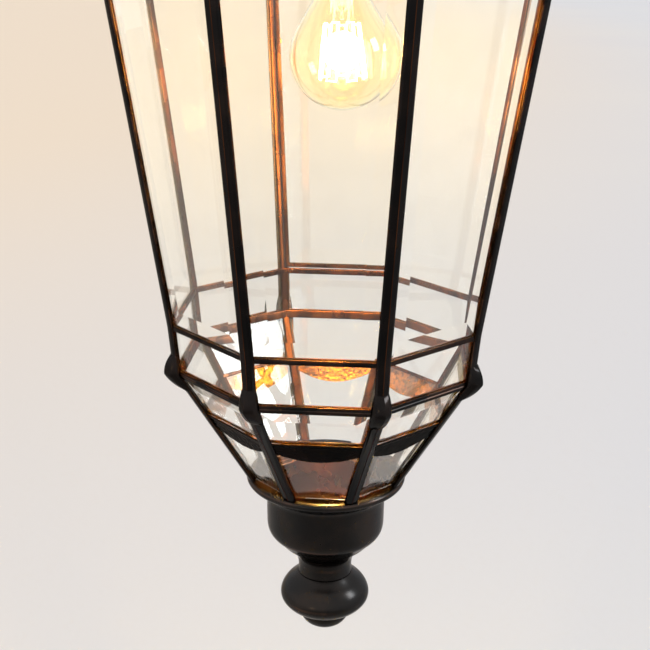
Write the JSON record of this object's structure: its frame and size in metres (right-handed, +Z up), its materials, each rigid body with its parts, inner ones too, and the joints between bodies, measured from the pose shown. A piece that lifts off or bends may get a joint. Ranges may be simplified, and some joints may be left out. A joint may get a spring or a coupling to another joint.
{
  "type": "hanging lantern",
  "caption": "Eight-sided tapering glass lantern in dark bronze bars, with a hinged door, scalloped belt, turned cup and finial, sheet roof and screw lamp.",
  "frame": {"origin": "the point inside the top of the hanging ring where a hook bears", "axes": "+Z up along the lantern, from finial to ring; +Y out through the door; +X towards the hinge side of the door"},
  "size_m": [0.2744, 0.2744, 0.6818],
  "materials": {
    "aged_bronze": "near-black bronze patina, satin, with reddish-brown wear on edges",
    "plain_brass": "dull brass, lightly tarnished",
    "clear_glass": "clear, bevelled at the rim",
    "bulb_glass": "clear, faintly warm",
    "filament": "glowing wire on a clear glass stem",
    "black_insulator": "matte black"
  },
  "bodies": {
    "cage": {"long_pane_1": "clear_glass", "long_pane_2": "clear_glass", "long_pane_4": "clear_glass", "long_pane_5": "clear_glass", "long_pane_6": "clear_glass", "long_pane_7": "clear_glass", "long_pane_8": "clear_glass", "band_pane_1": "clear_glass", "band_pane_2": "clear_glass", "band_pane_3": "clear_glass", "band_pane_4": "clear_glass", "band_pane_5": "clear_glass", "band_pane_6": "clear_glass", "band_pane_7": "clear_glass", "band_pane_8": "clear_glass", "lower_pane_1": "clear_glass", "lower_pane_2": "clear_glass", "lower_pane_3": "clear_glass", "lower_pane_4": "clear_glass", "lower_pane_5": "clear_glass", "lower_pane_6": "clear_glass", "lower_pane_7": "clear_glass", "lower_pane_8": "clear_glass", "corner_bar_1": "aged_bronze", "corner_bar_2": "aged_bronze", "corner_bar_3": "aged_bronze", "corner_bar_4": "aged_bronze", "corner_bar_5": "aged_bronze", "corner_bar_6": "aged_bronze", "corner_bar_7": "aged_bronze", "corner_bar_8": "aged_bronze", "shoulder_rail": "aged_bronze", "upper_rail": "aged_bronze", "knuckle_rail": "aged_bronze", "swag_belt": "aged_bronze", "swag_inner_rail": "aged_bronze", "bottom_collar": "aged_bronze", "finial_body": "aged_bronze", "finial_button": "aged_bronze", "roof_shell": "aged_bronze", "crown_collar": "aged_bronze", "crown_cap": "aged_bronze", "hanging_eye": "aged_bronze", "tie_rod": "plain_brass", "tie_nut": "plain_brass", "hinge_pin_lower": "plain_brass", "hinge_pin_upper": "plain_brass", "eye_nut": "plain_brass", "cable_gland": "plain_brass", "lamp_stem": "plain_brass", "lampholder_cap": "plain_brass", "lampholder_skirt": "plain_brass", "lampholder_insert": "black_insulator"},
    "door": {"door_frame": "aged_bronze", "door_pane": "clear_glass"},
    "latch_hook": {"latch_hook": "plain_brass"},
    "hanging_ring": {"hanging_ring": "aged_bronze"},
    "bulb": {"bulb_glass": "bulb_glass", "bulb_cap": "plain_brass", "bulb_filament_mount": "filament"}
  },
  "joints": [
    {"name": "door_hinge", "type": "hinge", "parent": "cage", "child": "door", "pos_m": [0.03796, 0.10064, -0.41], "axis": [-0.0565, -0.1365, -0.989], "range_deg": [0, 110]},
    {"name": "latch_turn", "type": "hinge", "parent": "door", "child": "latch_hook", "pos_m": [-0.04208, 0.10883, -0.31], "axis": [0, -0.9906, 0.1367], "range_deg": [0, 100]},
    {"name": "ring_swing", "type": "hinge", "parent": "cage", "child": "hanging_ring", "pos_m": [0, 0, -0.0425], "axis": [1, 0, 0], "range_deg": [-75, 75]},
    {"name": "bulb_unscrew", "type": "slide", "parent": "cage", "child": "bulb", "axis": [0.0314, 0, -0.9995], "range_m": [0, 0.028]}
  ]
}
